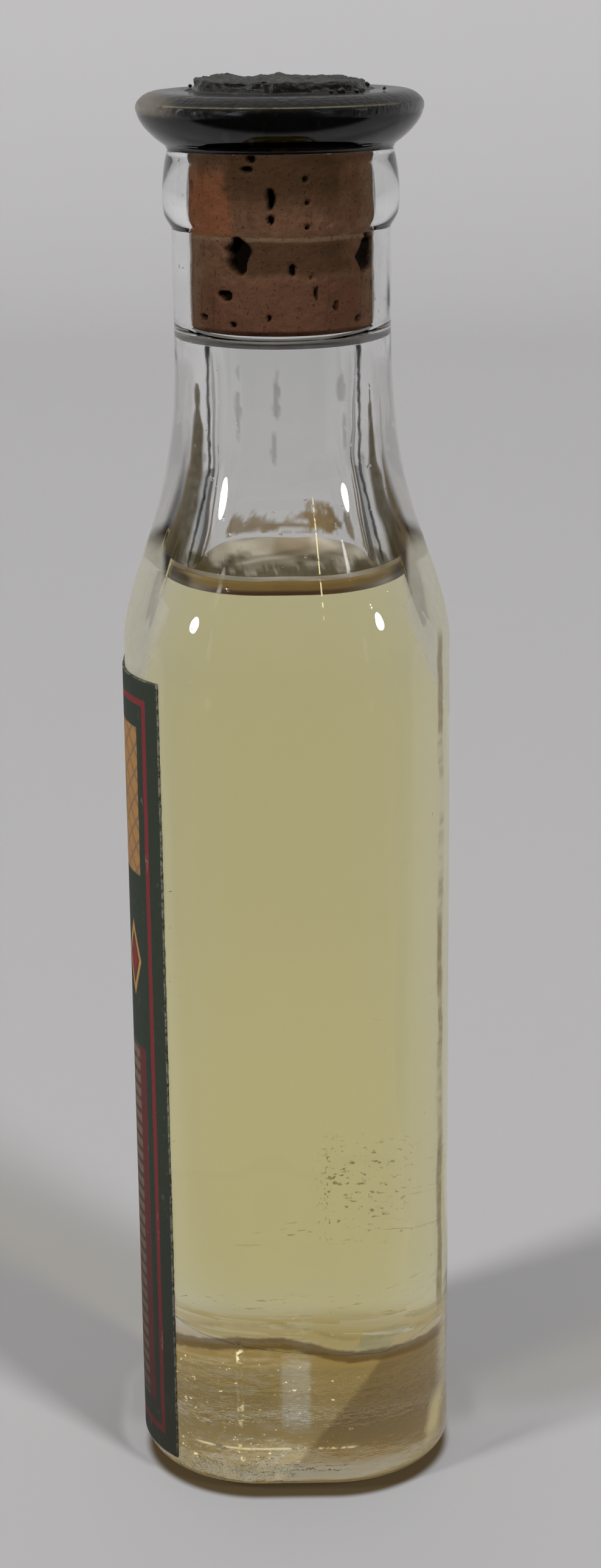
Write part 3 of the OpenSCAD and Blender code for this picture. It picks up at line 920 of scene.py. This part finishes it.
# Studio: camera, floor and lamps
view = {
    "height": 91.9, "distance": 161.9, "pitch": 16.8, "yaw": -0.25, "roll": -0.7, "lens": 64.29, "sensor": 36,
    "bounces": 24,
}
studio = {
    "floor": (0.46, 0.452, 0.452), "wall": (0.50, 0.492, 0.495), "wallStart": 350,
    "near": 900, "far": 500, "side": 1600, "bend": 400, "tall": 1600,
    "gap": (0.10, 0.07, 0.035), "gapReach": 7.35,  # painted shade on the table where the bottle's rim overhangs it
    "unlit": (0.04, 0.038, 0.036), "unlitEnd": -22,  # how dark the table looks in the glass, this side of it
    "glow": (0.46, 0.45, 0.44), "glowReach": 70,  # painted light: how brightly the table glows where seen through the glass, near the bottle
    # Each lamp: place round the bottle, elevation, size, power, and True if it lights surfaces, False if it
    # only shines in the glass
    "lamps": [
        (-57, 31, 350, 46.0, True), (40, 31, 450, 44.0, True), (-57, 19, 330, 22.0, False),
        (57, 19, 280, 18.0, False),
    ],
    "lampDistance": 2500, "lampAim": 40, "light": (1, 1, 1),
    # The room's light, and how bright it looks ahead, behind, and behind through the glass
    "fill": 0.20, "ahead": 0.43, "behind": 0.05, "through": 0.35,
    # Dark cards at both sides: from and to which cosine of the bearing, and how far away
    "cards": (0.37, 0.54), "cardSoft": 0.02, "cardDark": 0.97, "cardReach": 255,
    "card": (0.004, 0.004, 0.004),
}


def makeCamera():
    data = bpy.data.cameras.new("camera")
    data.lens = view["lens"]
    data.sensor_width = view["sensor"]
    data.clip_start = 0.01
    camera = bpy.data.objects.new("camera", data)
    scene.collection.objects.link(camera)
    turn = Matrix.Identity(4)
    for angle, axis in ((view["yaw"], "Z"), (90 - view["pitch"], "X"), (view["roll"], "Z")):
        turn = turn @ Matrix.Rotation(math.radians(angle), 4, axis)
    camera.matrix_world = Matrix.Translation((0, -view["distance"] * mm, view["height"] * mm)) @ turn
    scene.camera = camera
    print("camera set")


def cardAt(bearing):  # the dark cards that a glass photographer stands at both sides
    return bearing.between(*studio["cards"], studio["cardSoft"]) * studio["cardDark"]


def paperFinish():
    s = studio
    f = Finish("studio_paper")
    place = f.place()
    x, y, z = f.axes(place)
    path = f.node("LightPath")
    glassRay = path["Is Transmission Ray"]
    colour = f.mix(y.above(s["wallStart"], 300), s["floor"], s["wall"])
    corner = f.vector((abs(x) - bottle["flat"]).most(0), (abs(y) - bottle["flat"]).most(0))
    # Painted shade on the table under the bottle's rim, which the glass does not show
    under = f.reach(corner).below(s["gapReach"], 0.35)
    colour = f.mix(under * (1 - glassRay), colour, s["gap"])
    colour = f.mix(y.below(s["unlitEnd"], 12) * path["Is Glossy Ray"], colour, s["unlit"])
    level = f.node("VectorMath", {"operation": "MULTIPLY"}, {0: place, 1: (1, 1, 0)})["Vector"]
    bearing = f.axes(f.node("VectorMath", {"operation": "NORMALIZE"}, {0: level})["Vector"])[1]
    distance = f.reach(level)
    colour = f.mix(cardAt(bearing) * distance.above(s["cardReach"], 12) * glassRay, colour, s["card"])
    # Painted light: near the bottle the table glows where seen through the glass
    glow = f.node("Emission", {}, {"Color": s["glow"], "Strength": 1.0})["Emission"]
    return f.finish(f.layer(distance.below(s["glowReach"], 30) * glassRay, f.shader("Diffuse", colour), glow))


def worldFinish():
    s = studio
    f = Finish("studio_room", "World")
    bearing = f.axes(f.node("TexCoord")["Generated"])[1]
    path = f.node("LightPath")
    lit, glassRay = path["Is Diffuse Ray"], path["Is Transmission Ray"]
    ahead = bearing.above(0.1, 0.35).most(path["Is Camera Ray"])
    behind = glassRay * (s["through"] - s["behind"]) + s["behind"]
    seen = ahead * s["ahead"] + (1 - ahead) * behind
    level = lit * s["fill"] + (1 - lit) * seen * (1 - cardAt(bearing) * glassRay)
    return f.finish(f.node("Background", {}, {"Color": s["light"], "Strength": level})["Background"])


def makeStage():
    s = studio
    bm = bmesh.new()
    line = [(-s["near"], 0), (s["far"], 0)] + quarter((s["far"], s["bend"]), s["bend"], -90, 0, 24)
    line.append((s["far"] + s["bend"], s["tall"]))
    verts = [bm.verts.new((-s["side"], y, z)) for y, z in line]
    edges = [bm.edges.new(pair) for pair in zip(verts, verts[1:])]
    made = bmesh.ops.extrude_edge_only(bm, edges=edges)["geom"]
    fresh = [g for g in made if isinstance(g, bmesh.types.BMVert)]
    bmesh.ops.translate(bm, vec=(2 * s["side"], 0, 0), verts=fresh)
    bmesh.ops.recalc_face_normals(bm, faces=bm.faces)
    sweep = asObject("studio_sweep", bm, [paperFinish()])


def makeLamps():
    s = studio
    for around, height, size, power, lights in s["lamps"]:
        data = bpy.data.lights.new("lamp", "AREA")
        data.shape = "DISK"
        data.size = size * mm
        data.energy = power
        lamp = bpy.data.objects.new("lamp", data)
        scene.collection.objects.link(lamp)
        azimuth, elevation = math.radians(around), math.radians(height)
        out = math.cos(elevation)
        towards = Vector((math.sin(azimuth) * out, -math.cos(azimuth) * out, math.sin(elevation)))
        lamp.location = towards * s["lampDistance"] * mm + Vector((0, 0, s["lampAim"] * mm))
        lamp.rotation_euler = towards.to_track_quat("Z", "Y").to_euler()
        lamp.visible_diffuse = lights
        lamp.visible_glossy = not lights
        lamp.visible_transmission = not lights
    scene.world = worldFinish()
    print("lamps set")


makeCamera()
makeStage()
makeLamps()
scene.view_settings.view_transform = "Standard"
scene.cycles.max_bounces = view["bounces"]
scene.cycles.transmission_bounces = view["bounces"]
scene.cycles.transparent_max_bounces = view["bounces"]
scene.cycles.caustics_refractive = False
